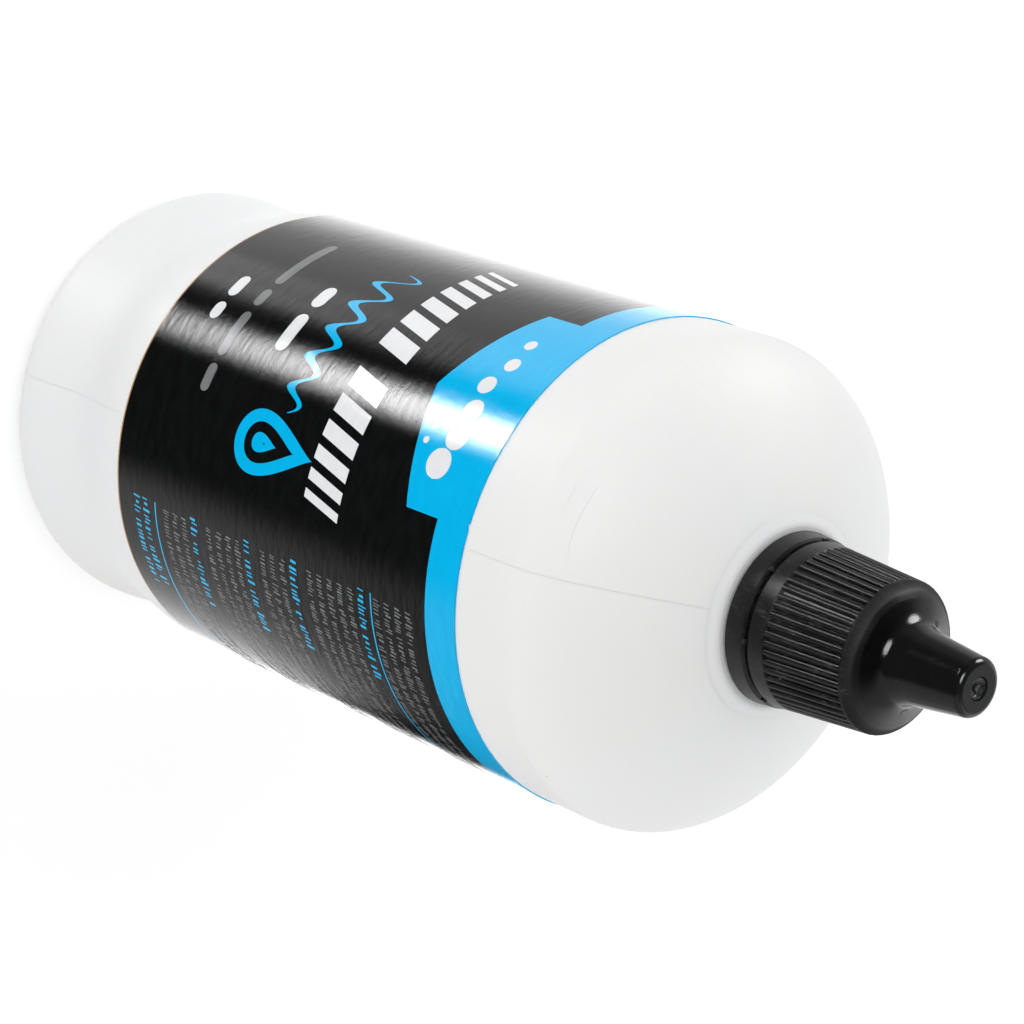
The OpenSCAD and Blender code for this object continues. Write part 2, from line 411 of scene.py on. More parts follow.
def printed_film(name, ink, faded, sheen=0.5):
    """Film under the laminate, in one ink. The second colour is the same ink where it lies thinner."""
    material, tree, shader, place, place_mm = new_material(name)
    coordinates = use_group(tree, unrolled, Vector=place)
    grain = use_group(tree, fine_grain, Vector=coordinates["Vector"], Per_mm=(3.6, 10.0, 1.0))
    dust = use_group(tree, specks, Vector=place_mm, Cells_per_mm=0.28, Dot=0.03, Share=0.12)
    worn = mix_colour(tree, grain["Mottle"], ink, faded)
    dusty = mix_colour(tree, product(tree, dust["Mask"], 0.5), worn, (0.5, 0.5, 0.5, 1.0))
    gloss = total(tree, product(tree, grain["Height"], 0.05), 0.03)
    uneven = total(tree, grain["Height"], product(tree, grain["Mottle"], 0.7))
    add_bump(tree, shader, uneven, 0.009)
    fill(tree, shader, Base_Color=dusty, Roughness=gloss, IOR=1.49, Specular_IOR_Level=sheen)
    return material


film_black = printed_film("film_black", (0.0035, 0.0038, 0.004, 1.0), (0.006, 0.0065, 0.007, 1.0))
film_blue = printed_film("film_blue", (0.0, 0.51, 0.95, 1.0), (0.0, 0.54, 0.97, 1.0), 0.85)
film_white = printed_film("film_white", (0.9, 0.91, 0.93, 1.0), (0.87, 0.88, 0.9, 1.0))
film_grey = printed_film("film_grey", (0.22, 0.225, 0.23, 1.0), (0.18, 0.185, 0.19, 1.0))
film_edge = printed_film("film_edge", (0.5, 0.3, 0.14, 1.0), (0.42, 0.24, 0.1, 1.0))

# %% [markdown]
# ## Moulded black caps
# The cap and its ring are glossy black polypropylene. The dome and spout came from a polished
# mould and stay shiny. Hands and boxes have rubbed the ribs and the ring, so those are rougher
# and greyer, with pale dust in them. The foot of the dome is satin for about a millimetre, and the rim
# of the tip is rubbed too. Height tells the zones apart, and a scuff mask breaks them up.

# %% Material: black cap plastic
CAP_TOP_MM = CAP_TOP / MM
DOME_FOOT = CAP_TOP_MM - 10.5     # where the ribs give way to the dome


def cap_plastic(name, rub_low, rub_high, rub, dust_share):
    """Black plastic, rubbed between two heights in mm, satin just above, and polished elsewhere."""
    material, tree, shader, place, place_mm = new_material(name)
    coordinates = use_group(tree, unrolled, Vector=place, Radius=8.5)
    height = coordinates["Height"]
    zone = product(tree, stepped(tree, height, rub_low - 0.3, rub_low),
                   stepped(tree, height, rub_high + 0.6, rub_high))
    grain = use_group(tree, fine_grain, Vector=place_mm, Per_mm=(6.0, 6.0, 6.0))
    rubs = use_group(tree, scuffs, Vector=coordinates["Vector"], Per_mm=(4.0, 1.2, 1.0), Amount=1.0)
    dust = use_group(tree, specks, Vector=place_mm, Cells_per_mm=0.7, Dot=0.075, Share=dust_share)
    tip = stepped(tree, height, CAP_TOP_MM - 0.35, CAP_TOP_MM - 0.1, 0.0, 0.12)
    rubbed = total(tree, product(tree, zone, rubs["Mask"]), tip)
    black, grey = (0.0022, 0.0024, 0.0026, 1.0), (0.11, 0.12, 0.12, 1.0)
    greyed = mix_colour(tree, product(tree, rubbed, rub), black, grey)
    haze = product(tree, grain["Mottle"], 0.15)
    hazed = mix_colour(tree, haze, greyed, (0.009, 0.0095, 0.0105, 1.0))
    dusty = mix_colour(tree, product(tree, dust["Mask"], 0.6), hazed, (0.45, 0.45, 0.43, 1.0))
    polished = total(tree, product(tree, grain["Mottle"], 0.04), 0.08)
    satin = product(tree, stepped(tree, height, rub_high - 0.4, rub_high),
                    stepped(tree, height, rub_high + 1.05, rub_high + 0.85))
    lip = product(tree, satin, stepped(tree, height, rub_high + 0.7, rub_high + 0.4, 0.2, 0.5))
    dulled = total(tree, product(tree, zone, 0.22), lip)
    roughness = total(tree, polished, dulled, product(tree, rubbed, 0.2))
    add_bump(tree, shader, grain["Height"], 0.006)
    fill(tree, shader, Base_Color=dusty, Roughness=roughness, IOR=1.49)
    return material


cap_black = cap_plastic("cap_black", CAP_BOTTOM / MM, DOME_FOOT, 0.5, 0.35)
ring_black = cap_plastic("ring_black", ring_low.z / MM, ring_high.z / MM, 0.35, 0.15)
finishes = {"bottle": bottle_plastic, "dropper_plug": plug_plastic,
            "tamper_ring": ring_black, "cap": cap_black}
for node, material in finishes.items():
    frame["nodes"][node].data.materials[0] = material
print("finished nodes:", list(finishes))

# %% [markdown]
# ## The label
# The film is a closed band of two skins. Its ends meet at the back with a slit between them, its
# lower edge shows a hair of bare adhesive film, and its upper edge has a small nick, where the
# blade that cut the roll stepped. Columns stand closer together at the nick, so it keeps its form.
# The band takes the place of the label's plain solid.

# %% Label film
SLIT = 1.5 * MM
FILM_THICK = 0.15 * MM
FILM_SKIN = 0.03 * MM    # the film's own face lies this far inside the label's radius, and the inks fill it
EDGE = 0.22 * MM         # adhesive film that shows below the black
NICK_AT = 27.6           # degrees round from the front
NICK_WIDE = 1.6          # degrees
NICK_DEEP = 0.3 * MM
COLUMN = 1.5             # degrees between columns
half_turn = 180.0 - math.degrees(SLIT / 2 / FILM_R)
angles = list(np.arange(-half_turn, half_turn, COLUMN)) + [half_turn]
angles += [NICK_AT + NICK_WIDE * share for share in (-0.5, -0.45, -0.2, 0.0, 0.2, 0.5)]
angles.sort()


def nick_depth(angle):
    """How far the label's upper edge is cut back at an angle."""
    share = (angle - NICK_AT) / NICK_WIDE + 0.5
    return NICK_DEEP * (1.0 - share) if 0.02 < share < 1.0 else 0.0


def film_band(angle_list, levels, outer, inner):
    """Points and faces of a closed band of film. Levels are functions of the angle, from low to high."""
    points, faces, rows = [], [], []
    for radius in (outer, inner):
        for level in levels:
            rows.append(len(points))
            points += [around_axis(angle, level(angle), radius) for angle in angle_list]
    count, tall = len(angle_list), len(levels)
    grid = [[row + column for column in range(count)] for row in rows]
    skins = (grid[:tall], grid[tall:][::-1])
    loop = skins[0] + skins[1] + [skins[0][0]]
    for low, high in zip(loop, loop[1:]):
        for i in range(count - 1):
            faces.append((low[i], low[i + 1], high[i + 1], high[i]))
    faces.append(tuple(row[0] for row in loop[:-1])[::-1])
    faces.append(tuple(row[-1] for row in loop[:-1]))
    return points, faces


levels = [lambda a: LABEL_BOTTOM, lambda a: LABEL_BOTTOM + EDGE, lambda a: LABEL_TOP - nick_depth(a)]
points, faces = film_band(angles, levels, FILM_R - FILM_SKIN, FILM_R - FILM_THICK)
span = len(angles) - 1
rims = {0: 1, 2: 2, 5: 1}          # the bare strip and the lower rim show the film, the upper rim the blue
edge_faces = [rims.get(index // span, 0) for index in range(len(faces))]
inks = [film_black, film_edge, film_blue]
label_wrap = add_piece("label_wrap", points, faces, inks, "bottle", "label_film", edge_faces)
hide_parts("label")
print("label_wrap has", len(points), "points and is", round((LABEL_TOP - LABEL_BOTTOM) / MM, 1), "mm tall")

# %% [markdown]
# ## The print
# A printer lays flat inks, and every shape here is a thin closed patch of ink on the film, so it
# shows as geometry from any side. Most shapes lie between a lower and an upper edge, both given as
# heights that depend on the angle, which is all that a band, a bar, a tab or a ribbon needs. The
# blue goes on first and the white and grey over it, so their faces never lie in one place.

# %% Helper: ink between two edges
UNDER_INK = FILM_R - 0.02 * MM        # outside of the blue, which is printed first
OVER_INK = FILM_R - 0.01 * MM         # outside of the white and the grey
INK_IN = FILM_R - 0.045 * MM
DEGREE = math.pi / 180.0 * FILM_R     # length of one degree along the film


class Print:
    """All the shapes of one ink, collected and then made into one piece."""

    def __init__(self, outside):
        self.outside = outside
        self.points = []
        self.faces = []

    def between(self, start, end, low, high, lean=0.0, step=2.0):
        """Ink from one angle to another. Edges are heights in millimetres, or functions of the angle."""
        low_edge = low if callable(low) else lambda angle: low
        high_edge = high if callable(high) else lambda angle: high
        columns = max(2, int(math.ceil((end - start) / step)) + 1)
        middle = 0.5 * (low_edge(0.5 * (start + end)) + high_edge(0.5 * (start + end)))
        first = len(self.points)
        for radius in (self.outside, INK_IN):
            for edge in (low_edge, high_edge):
                for angle in np.linspace(start, end, columns):
                    height = edge(angle)
                    shift = lean * (height - middle) * MM / DEGREE
                    self.points.append(around_axis(angle + shift, height * MM, radius))
        rows = [[first + row * columns + i for i in range(columns)] for row in range(4)]
        loop = (rows[0], rows[1], rows[3], rows[2], rows[0])
        for this, that in zip(loop, loop[1:]):
            for i in range(columns - 1):
                self.faces.append((this[i], this[i + 1], that[i + 1], that[i]))
        self.faces.append((rows[0][0], rows[1][0], rows[3][0], rows[2][0]))
        self.faces.append((rows[0][-1], rows[2][-1], rows[3][-1], rows[1][-1]))

    def outline(self, outer, inner):
        """A closed line of ink between two outlines, each a list of (angle, height in millimetres)."""
        count = len(outer)
        first = len(self.points)
        for radius in (self.outside, INK_IN):
            for loop in (outer, inner):
                self.points += [around_axis(angle, height * MM, radius) for angle, height in loop]
        for this, that in ((1, 0), (0, 2), (2, 3), (3, 1)):
            self.faces += loop_faces(first + this * count, first + that * count, count)

    def piece(self, name, material):
        """The collected shapes as one piece on the bottle."""
        add_piece(name, self.points, self.faces, [material], "bottle", "label_film", smooth=False)
        print(name, "has", len(self.faces), "faces")


# %% [markdown]
# The blue ink makes the band along the label's upper edge and the tab below it in front, which
# steps in and ends in a shallow V. Below, a wave runs across the front. It is thick where it swells
# and thin where it turns. A small drop inside an open one stands beside it.

# %% Blue ink
TOP_MM = LABEL_TOP / MM
BAND_LOW = 79.8
TAB_HALF = 28.2           # degrees to each side of the front, which is also where the V's point lies
TAB_SIDE = 74.8           # height where the tab's straight sides end
TAB_POINT = 70.7          # height of the V's point
EDGE_MARGIN = 0.03        # how far the inks stay below the film's edge
WAVE_START, WAVE_END, WAVE_MID = -28.0, 18.0, 52.0
WAVES = 5.5               # swells from one end to the other
DROP_AT = 26.5            # degrees
blue = Print(UNDER_INK)
blue.between(-half_turn, half_turn, BAND_LOW, lambda a: TOP_MM - EDGE_MARGIN - nick_depth(a) / MM, step=1.0)
for start, end in ((-TAB_HALF, 0.0), (0.0, TAB_HALF)):
    blue.between(start, end, lambda a: TAB_POINT + (TAB_SIDE - TAB_POINT) * abs(a) / TAB_HALF, BAND_LOW)


def wave_share(angle):
    """How far along the wave an angle is, from 0 to 1."""
    return (angle - WAVE_START) / (WAVE_END - WAVE_START)


def wave(angle):
    """The wave's middle line. Its first swell is the tallest."""
    share = wave_share(angle)
    return WAVE_MID + (1.35 + 1.5 * (1.0 - share) ** 3) * math.sin(share * WAVES * 2.0 * math.pi)


def wave_half(angle):
    """Half the wave's thickness: thin at its ends, and thicker on every second slope."""
    share = wave_share(angle)
    pulse = 0.62 + 0.3 * math.cos(share * WAVES * 2.0 * math.pi + 0.5)
    return 0.1 + pulse * math.sin(math.pi * share) ** 0.35


blue.between(WAVE_START, WAVE_END,
             lambda a: wave(a) - wave_half(a), lambda a: wave(a) + wave_half(a), step=0.25)


def drop_outline(centre, height, wide, tall):
    """A drop with its point up, as (angle, height) pairs. Width and height are in millimetres."""
    loop = []
    for turn in np.arange(0.0, 360.0, 6.0) * math.pi / 180.0:
        taper = math.sin(turn / 2.0) ** 1.5
        across = 0.5 * wide * 1.3 * math.sin(turn) * taper
        up = height + 0.5 * tall * math.cos(turn)
        loop.append((centre + across * MM / DEGREE, up))
    return loop


blue.outline(drop_outline(DROP_AT, 51.8, 8.0, 13.5), drop_outline(DROP_AT, 51.0, 5.0, 8.6))
blue.outline(drop_outline(DROP_AT, 50.1, 2.4, 4.2), drop_outline(DROP_AT, 50.1, 0.2, 0.4))
print("blue ink has", len(blue.faces), "faces before the side panel")

# %% [markdown]
# The side panel has rows of very fine marks, which show from here as a texture. Each row is made of
# short upright strokes in uneven groups, some of them taller than others. The gaps, widths and
# heights come from a seeded random, so the rows are the same at every run.

# %% Helper: a line of strokes
random.seed(17)


def stroke_line(ink, start, end, middle, tall, stroke):
    """Upright strokes in uneven groups, from one angle to another. Sizes are in millimetres."""
    angle = start
    left = random.randint(3, 9)
    while angle < end:
        width = stroke * random.choice((0.8, 1.0, 1.6)) * MM / DEGREE
        rise = tall * random.choice((0.0, 0.0, 0.0, 0.35))
        cut = tall * random.choice((0.0, 0.0, 0.3, 0.45))
        low = middle - 0.5 * tall + random.choice((0.0, cut))
        ink.between(angle, angle + width, low, middle + 0.5 * tall + rise, lean=0.12, step=4.0)
        left -= 1
        gap = stroke * (random.choice((1.3, 2.0, 2.6)) if left else 5.0)
        left = left or random.randint(2, 9)
        angle += width + gap * MM / DEGREE


def pill_line(ink, start, middle, tall, lengths, gap):
    """Bars with round ends, one after another from an angle. Sizes are in millimetres."""
    angle = start
    for length in lengths:
        wide = length * MM / DEGREE
        end_wide = 0.5 * tall * MM / DEGREE

        def half(a, first=angle, last=angle + wide):
            reach = min(1.0, min(a - first, last - a) / end_wide)
            return 0.5 * tall * math.sqrt(max(0.0, reach * (2.0 - reach))) + 0.01

        ink.between(angle, angle + wide, lambda a: middle - half(a), lambda a: middle + half(a), step=0.2)
        angle += wide + gap * MM / DEGREE


# %% Side panel
# Each entry is the height of its first row in millimetres, how many rows it has, and its ink.
PANEL_START = 50.0        # degrees, the left edge of the panel
PANEL_END = 122.0
ROW_PITCH = 1.75          # mm
GREY_TALL, GREY_STROKE = 0.8, 0.13    # mm
BLUE_TALL, BLUE_STROKE = 0.9, 0.19    # mm
BLUE_SPAN = 24.0          # degrees
RULES = (70.9, 31.9)      # heights of the two thin rules
RULE_HALF = 0.1           # mm
panel_rows = ((77.0, 4, "grey"), (69.2, 1, "blue"), (67.4, 5, "grey"), (57.4, 1, "blue"), (55.6, 3, "grey"),
              (49.2, 1, "blue"), (47.4, 4, "grey"), (39.2, 1, "blue"), (37.4, 3, "grey"), (29.9, 2, "blue"))
grey = Print(OVER_INK)
for top, rows, ink_name in panel_rows:
    for row in range(rows):
        height = top - ROW_PITCH * row
        if ink_name == "grey":
            row_end = PANEL_END - random.choice((0.0, 2.0, 4.0, 26.0))
            stroke_line(grey, PANEL_START + 1.0, row_end, height, GREY_TALL, GREY_STROKE)
        else:
            stroke_line(blue, PANEL_START, PANEL_START + BLUE_SPAN, height, BLUE_TALL, BLUE_STROKE)
for height in RULES:
    blue.between(PANEL_START, PANEL_END, height - RULE_HALF, height + RULE_HALF)
blue.piece("print_blue", film_blue)

# %% [markdown]
# The large row in the middle is two fans of leaning bars that grow thinner away from the front.
# Bubbles rise along the tab, and short bars with round ends stand in three rows lower down.

# %% White and grey ink
white = Print(OVER_INK)
FAN_MID, FAN_TALL, FAN_LEAN = 61.7, 6.0, 0.25
FAN_GAP = 1.0             # mm between bars


def fan(ink, start, widths):
    """Leaning bars of the given widths in millimetres, from an angle on."""
    angle = start
    for width in widths:
        wide = width * MM / DEGREE
        low, high = FAN_MID - FAN_TALL / 2, FAN_MID + FAN_TALL / 2
        ink.between(angle, angle + wide, low, high, lean=FAN_LEAN, step=1.0)
        angle += wide + FAN_GAP * MM / DEGREE


fan(white, -39.5, [0.7 + 0.29 * i for i in range(7)])
fan(white, 3.5, [2.44 - 0.29 * i for i in range(6)])


def bubble(ink, centre, height, diameter):
    """A filled round dot at an angle. Its height and diameter are in millimetres."""
    half = 0.5 * diameter * MM / DEGREE

    def reach(a):
        return 0.5 * diameter * math.sqrt(max(0.0, 1.0 - ((a - centre) / half) ** 2)) + 0.01

    ink.between(centre - half, centre + half, lambda a: height - reach(a), lambda a: height + reach(a),
                step=half / 9.0)


for i in range(6):
    bubble(white, -17.0 + 6.8 * i, 77.6 + 0.5 * math.sin(2.2 * i), 1.5 + 0.38 * i)
bubble(white, 9.0, 74.2, 1.1)
bubble(white, 13.0, 73.9, 0.8)
pill_line(white, -16.0, 45.4, 2.0, (3.4, 5.2), 1.2)
pill_line(white, -11.5, 32.0, 1.7, (3.2, 2.4), 1.0)
white.piece("print_white", film_white)
pill_line(grey, -31.0, 37.0, 1.5, (9.0, 2.6, 6.0, 3.4), 1.0)
grey.piece("print_grey", film_grey)

# %% [markdown]
# ## The mould's seam
# The two halves of a blow mould leave a fine raised line up both sides of the bottle, and a heavier
# weld where they pinch the tube of plastic shut across the base. The line has to follow the real
# surface, so rays are cast at the solid from outside, and the ridge is built on what they hit.

# %% Seam up the sides
from mathutils.bvhtree import BVHTree

SEAM_AT = 32.0            # degrees round from the label's front
SEAM_HALF = 0.12 * MM
SEAM_HIGH = 0.018 * MM
SUNK = 0.04 * MM          # how deep the feet of a fine ridge lie in the wall
LABEL_CLEAR = 0.3 * MM    # bare gap between the seam and the label
SHOULDER_END = 104.2 * MM
HEEL_START = 0.8 * MM
wall = BVHTree.FromObject(frame["nodes"]["bottle"], bpy.context.evaluated_depsgraph_get())


def surface_line(around, lowest, highest, count):
    """Points and normals up the outside of the bottle at one angle, between two heights."""
    centre = Vector((0.0, 0.0, 60.0 * MM))
    line = []
    for above in np.linspace(-68.0, 78.0, count):
        ray = direction(around, above)
        hit, normal, _, _ = wall.ray_cast(centre + ray * 0.2, -ray)
        if hit and lowest <= hit.z <= highest:
            line.append((hit, normal))
    return line


def ridge(lines, half, high, sunk):
    """Points and faces of small ridges. Each line is a list of points and normals on a surface."""
    points, faces = [], []
    for line in lines:
        first = len(points)
        for i, (point, normal) in enumerate(line):
            ahead = line[min(i + 1, len(line) - 1)][0] - line[max(i - 1, 0)][0]
            side = ahead.cross(normal).normalized() * half
            taper = min(1.0, i / 3.0, (len(line) - 1 - i) / 3.0)
            crest = point + normal * (high * taper - sunk * (1.0 - taper))
            points += [point - side - normal * sunk, crest, point + side - normal * sunk]
        for i in range(len(line) - 1):
            here, there = first + 3 * i, first + 3 * i + 3
            faces += loop_faces(here, there, 3)
        faces += [(first + 2, first + 1, first), tuple(len(points) - 3 + j for j in range(3))]
    return points, faces


def moulded_on_bottle(name, shape, plastic=bottle_plastic):
    """A detail of the bottle's own plastic, from its points and faces."""
    add_piece(name, *shape, [plastic], "bottle", "natural_hdpe")


seam_lines = []
for around in (SEAM_AT, SEAM_AT + 180.0):
    seam_lines.append(surface_line(around, LABEL_TOP + LABEL_CLEAR, SHOULDER_END, 900))
    seam_lines.append(surface_line(around, HEEL_START, LABEL_BOTTOM - LABEL_CLEAR, 900))
moulded_on_bottle("mould_seam", ridge(seam_lines, SEAM_HALF, SEAM_HIGH, SUNK))
print("seam points on the wall:", [len(line) for line in seam_lines])

# %% Two scratches on the shoulder
# Each point is an angle and a height in millimetres; the ray finds the surface there.
SCRATCHES = (((10.3, 94.93), (13.3, 94.88), (18.6, 94.85)),
             ((7.8, 96.37), (10.9, 96.27), (15.7, 96.15), (21.2, 96.11), (29.9, 96.45)))
SCRATCH_HALF = 0.08 * MM
SCRATCH_HIGH = 0.02 * MM  # the burr that a scratch throws up


def scratch_line(corners, steps=8):
    """Points and normals on the wall along a line of (angle, height) corners."""
    line = []
    for (a0, z0), (a1, z1) in zip(corners, corners[1:]):
        for share in np.linspace(0.0, 1.0, steps, endpoint=False):
            ray = direction(a0 + (a1 - a0) * share, 0.0)
            start = ray * 0.2 + Vector((0.0, 0.0, (z0 + (z1 - z0) * share) * MM))
            hit, normal, _, _ = wall.ray_cast(start, -ray)
            line.append((hit, normal))
    return line


scratch_lines = [scratch_line(corners) for corners in SCRATCHES]
burrs = ridge(scratch_lines, SCRATCH_HALF, SCRATCH_HIGH, SUNK)
moulded_on_bottle("shoulder_scratches", burrs, scratched_plastic)
print("scratch points on the wall:", [len(line) for line in scratch_lines])

# %% Fillet under the ring
# The ring stands on a low round pad of the bottle, which runs into the shoulder in a small fillet.
PAD_R = 9.45 * MM
FILLET_WIDE = 1.5 * MM
UP = Vector((0.0, 0.0, 1.0))


def wall_height(radius):
    """The height of the bottle's outside at a distance from the axis, found from above."""
    return wall.ray_cast(Vector((radius, 0.0, 0.2)), -UP)[0].z


pad_z = wall_height(PAD_R - 0.1 * MM)
rings = []
for share in (0.0, 0.2, 0.4, 0.6, 0.8, 1.0):
    radius = PAD_R + FILLET_WIDE * share
    wall_z = wall_height(radius + 0.02 * MM)
    rings.append((radius, wall_z + (pad_z - wall_z) * (1.0 - share) ** 2 + 0.01 * MM * (1.0 - share)))
rings += [(PAD_R + FILLET_WIDE, rings[-1][1] - 0.2 * MM), (PAD_R - 0.05 * MM, rings[0][1] - 0.3 * MM)]
TURNS = 120
points = [around_axis(step * 360.0 / TURNS, z, radius) for radius, z in rings for step in range(TURNS)]
faces = []
for low in range(len(rings)):
    faces += loop_faces(low * TURNS, (low + 1) % len(rings) * TURNS, TURNS)
moulded_on_bottle("pad_fillet", (points, faces))
print("pad", round((rings[0][1] - rings[5][1]) / MM, 2), "mm above the shoulder at the fillet's foot")

# %% Weld across the base
WELD_REACH = 17.5 * MM    # how far the weld runs to each side of the middle
weld = []
for along in np.linspace(-WELD_REACH, WELD_REACH, 60):
    hit, normal, _, _ = wall.ray_cast(Vector(around_axis(SEAM_AT, -0.01, along)), UP)
    if hit:
        weld.append((hit, normal))
moulded_on_bottle("base_weld", ridge([weld], 0.6 * MM, 0.45 * MM, 0.1 * MM))
print("base weld", len(weld), "points, recess at", round(weld[30][0].z / MM, 2), "mm")

# %% [markdown]
# ## Screw threads
# The solids keep a plain neck and a plain bore, with room between them for the thread. The ridge
# is a helix of 3 mm pitch on the neck, and the cap's is the same helix half a pitch higher, so the
# two pass each other as the cap turns and rises. Their ends run out to nothing.

# %% Threads
PITCH = 3.0 * MM
NECK_CREST = NECK_R + 0.5 * MM
BORE_R = 7.2 * MM
CAP_CREST = BORE_R - 0.45 * MM
THREAD_LOW = 108.9 * MM
ROOT_HALF = 0.62 * MM     # half the ridge's thickness where it meets the wall
CREST_HALF = 0.3 * MM
RUN_OUT = 50.0            # degrees over which each end of the ridge sinks away


def thread(start, turns, root, crest):
    """A closed helical ridge from a root radius to a crest radius, right-handed as seen from above."""
    points, faces = [], []
    degrees = np.arange(0.0, turns * 360.0 + 1.0, 6.0)
    for turned in degrees:
        share = min(1.0, turned / RUN_OUT, (degrees[-1] - turned) / RUN_OUT)
        top = root + (crest - root) * share
        height = start + PITCH * turned / 360.0
        for radius, lift in ((root, -ROOT_HALF), (top, -CREST_HALF), (top, CREST_HALF), (root, ROOT_HALF)):
            points.append(around_axis(turned, height + lift, radius))
    for i in range(len(degrees) - 1):
        here, there = 4 * i, 4 * i + 4
        faces += loop_faces(here, there, 4)
    faces += [(3, 2, 1, 0), tuple(len(points) - 4 + j for j in range(4))]
    return points, faces


def moulded_on_cap(name, shape, plastic=cap_black, body="cap"):
    """A detail of the black plastic, on the cap or on the ring, from its points and faces."""
    add_piece(name, *shape, [plastic], body, "black_cap_plastic")


moulded_on_bottle("neck_thread", thread(THREAD_LOW, 2.1, NECK_R - 0.1 * MM, NECK_CREST))
moulded_on_cap("cap_thread", thread(THREAD_LOW + PITCH / 2, 1.6, BORE_R + 0.25 * MM, CAP_CREST))
print("neck thread to", round(NECK_CREST / MM, 2), "mm, cap thread to", round(CAP_CREST / MM, 2), "mm")

# %% [markdown]
# ## Marks of the mould on the cap
# Injection moulds leave small marks where pins and inserts meet the part. On the dome there is a
# small raised ring on one side and a small raised bar on the other. The gate, where the plastic
# came in, is a rough nub in the recess at the spout's tip.

# %% Marks on the dome
cap_skin = BVHTree.FromObject(frame["nodes"]["cap"], bpy.context.evaluated_depsgraph_get())


def on_dome(around, radius):
    """The dome's surface and normal at an angle and a distance from the axis."""
    above = Vector(around_axis(around, CAP_TOP + 0.01, radius))
    hit, normal, _, _ = cap_skin.ray_cast(above, Vector((0.0, 0.0, -1.0)))
    return hit, normal


def dome_patch(around, radius, outline_mm, layers):
    """A small raised patch on the dome. The outline is (sideways, outwards), each layer (scale, lift)."""
    points, faces = [], []
    for scale, lift in layers:
        for across, out in outline_mm:
            turn = around + math.degrees(across * scale * MM / radius)
            hit, normal = on_dome(turn, radius + out * scale * MM)
            points.append(hit + normal * lift * MM)
    count = len(outline_mm)
    for layer in range(len(layers) - 1):
        faces += loop_faces(layer * count, (layer + 1) * count, count)
    faces += [tuple(range(count))[::-1], tuple(range(len(points) - count, len(points)))]
    return points, faces


PIN_R = 0.34              # mm, radius of the pin's mark
circle = [(PIN_R * math.sin(math.radians(turn)), PIN_R * math.cos(math.radians(turn)))
          for turn in range(0, 360, 15)]
layers = ((1.0, -0.06), (0.9, 0.05), (0.7, 0.05), (0.55, -0.03))
moulded_on_cap("dome_pin_mark", dome_patch(-91.4, 4.92 * MM, circle, layers))
bar = [(-0.5, -0.25), (0.0, -0.25), (0.5, -0.25), (0.5, 0.0),
       (0.5, 0.25), (0.0, 0.25), (-0.5, 0.25), (-0.5, 0.0)]
layers = ((1.0, -0.06), (0.8, 0.04), (0.5, 0.04))
moulded_on_cap("dome_bar_mark", dome_patch(135.7, 5.08 * MM, bar, layers))
print("marks on the dome: a ring", 2 * PIN_R, "mm across and a bar 1 mm long")

# %% Gate nub at the tip
# Each ring of the nub is a radius and a height above the recess's floor, in millimetres.
gate_floor = on_dome(90.0, 0.9 * MM)[0].z
GATE_RINGS = ((1.22, -0.1), (1.22, 0.1), (1.08, 0.26), (0.9, 0.2),
              (0.72, 0.08), (0.5, 0.1), (0.4, 0.3), (0.18, 0.26))
SPOKES = 24
gate_grey = cap_plastic("gate_grey", 0.0, CAP_TOP_MM + 1.0, 0.8, 0.3)
points, faces = [], []
for ring, (radius, lift) in enumerate(GATE_RINGS):
    for i in range(SPOKES):
        rough = 1.0 + (0.1 * math.sin(5.0 * i + ring) if 2 < ring else 0.0)
        points.append(around_axis(i * 360.0 / SPOKES, gate_floor + lift * MM, radius * rough * MM))
for ring in range(len(GATE_RINGS) - 1):
    faces += loop_faces(ring * SPOKES, (ring + 1) * SPOKES, SPOKES)
faces += [tuple(range(len(points) - SPOKES, len(points))), tuple(range(SPOKES))[::-1]]
moulded_on_cap("gate_nub", (points, faces), gate_grey)
print("gate nub on", round(gate_floor / MM, 2), "mm, top of the cap", round(CAP_TOP_MM, 2), "mm")

# %% [markdown]
# The ring and the cap part at a moulded edge, and both lips of the gap are slightly rounded, so each
# carries a thin bright line where it faces a lamp. A fine bead round each edge gives that line.

# %% Lips of the gap
LIP = 0.15 * MM           # radius of the bead


def bead(radius, height, sides=8, turns=180):
    """A closed ring with a small round section."""
    points, faces = [], []
    for step in range(turns):
        for side in range(sides):
            a = 2.0 * math.pi * side / sides
            up, out = LIP * math.sin(a), LIP * math.cos(a)
            points.append(around_axis(step * 360.0 / turns, height + up, radius + out))
    for step in range(turns):
        faces += loop_faces((step + 1) % turns * sides, step * sides, sides)
    return points, faces


gloss_black = cap_plastic("gloss_black", 0.0, 0.0, 0.0, 0.1)
RING_TOP = CAP_BOTTOM - 0.3 * MM      # the bridges stand up across the rest of the gap
GAP_LIP_R = 8.75 * MM
moulded_on_cap("ring_lip", bead(GAP_LIP_R - 0.1 * MM, RING_TOP - 0.06 * MM), gloss_black, "tamper_ring")
moulded_on_cap("cap_lip", bead(GAP_LIP_R - 0.13 * MM, CAP_BOTTOM + 0.14 * MM), gloss_black)
print("lips at", round(RING_TOP / MM, 2), "and", round(CAP_BOTTOM / MM, 2), "mm")

# %% [markdown]
# ## Floor
# The floor is a plain pale sheet. The camera sees it a little brighter than the light alone would
# make it, so it reads as white paper, and the bottle's soft shadow stays on it.

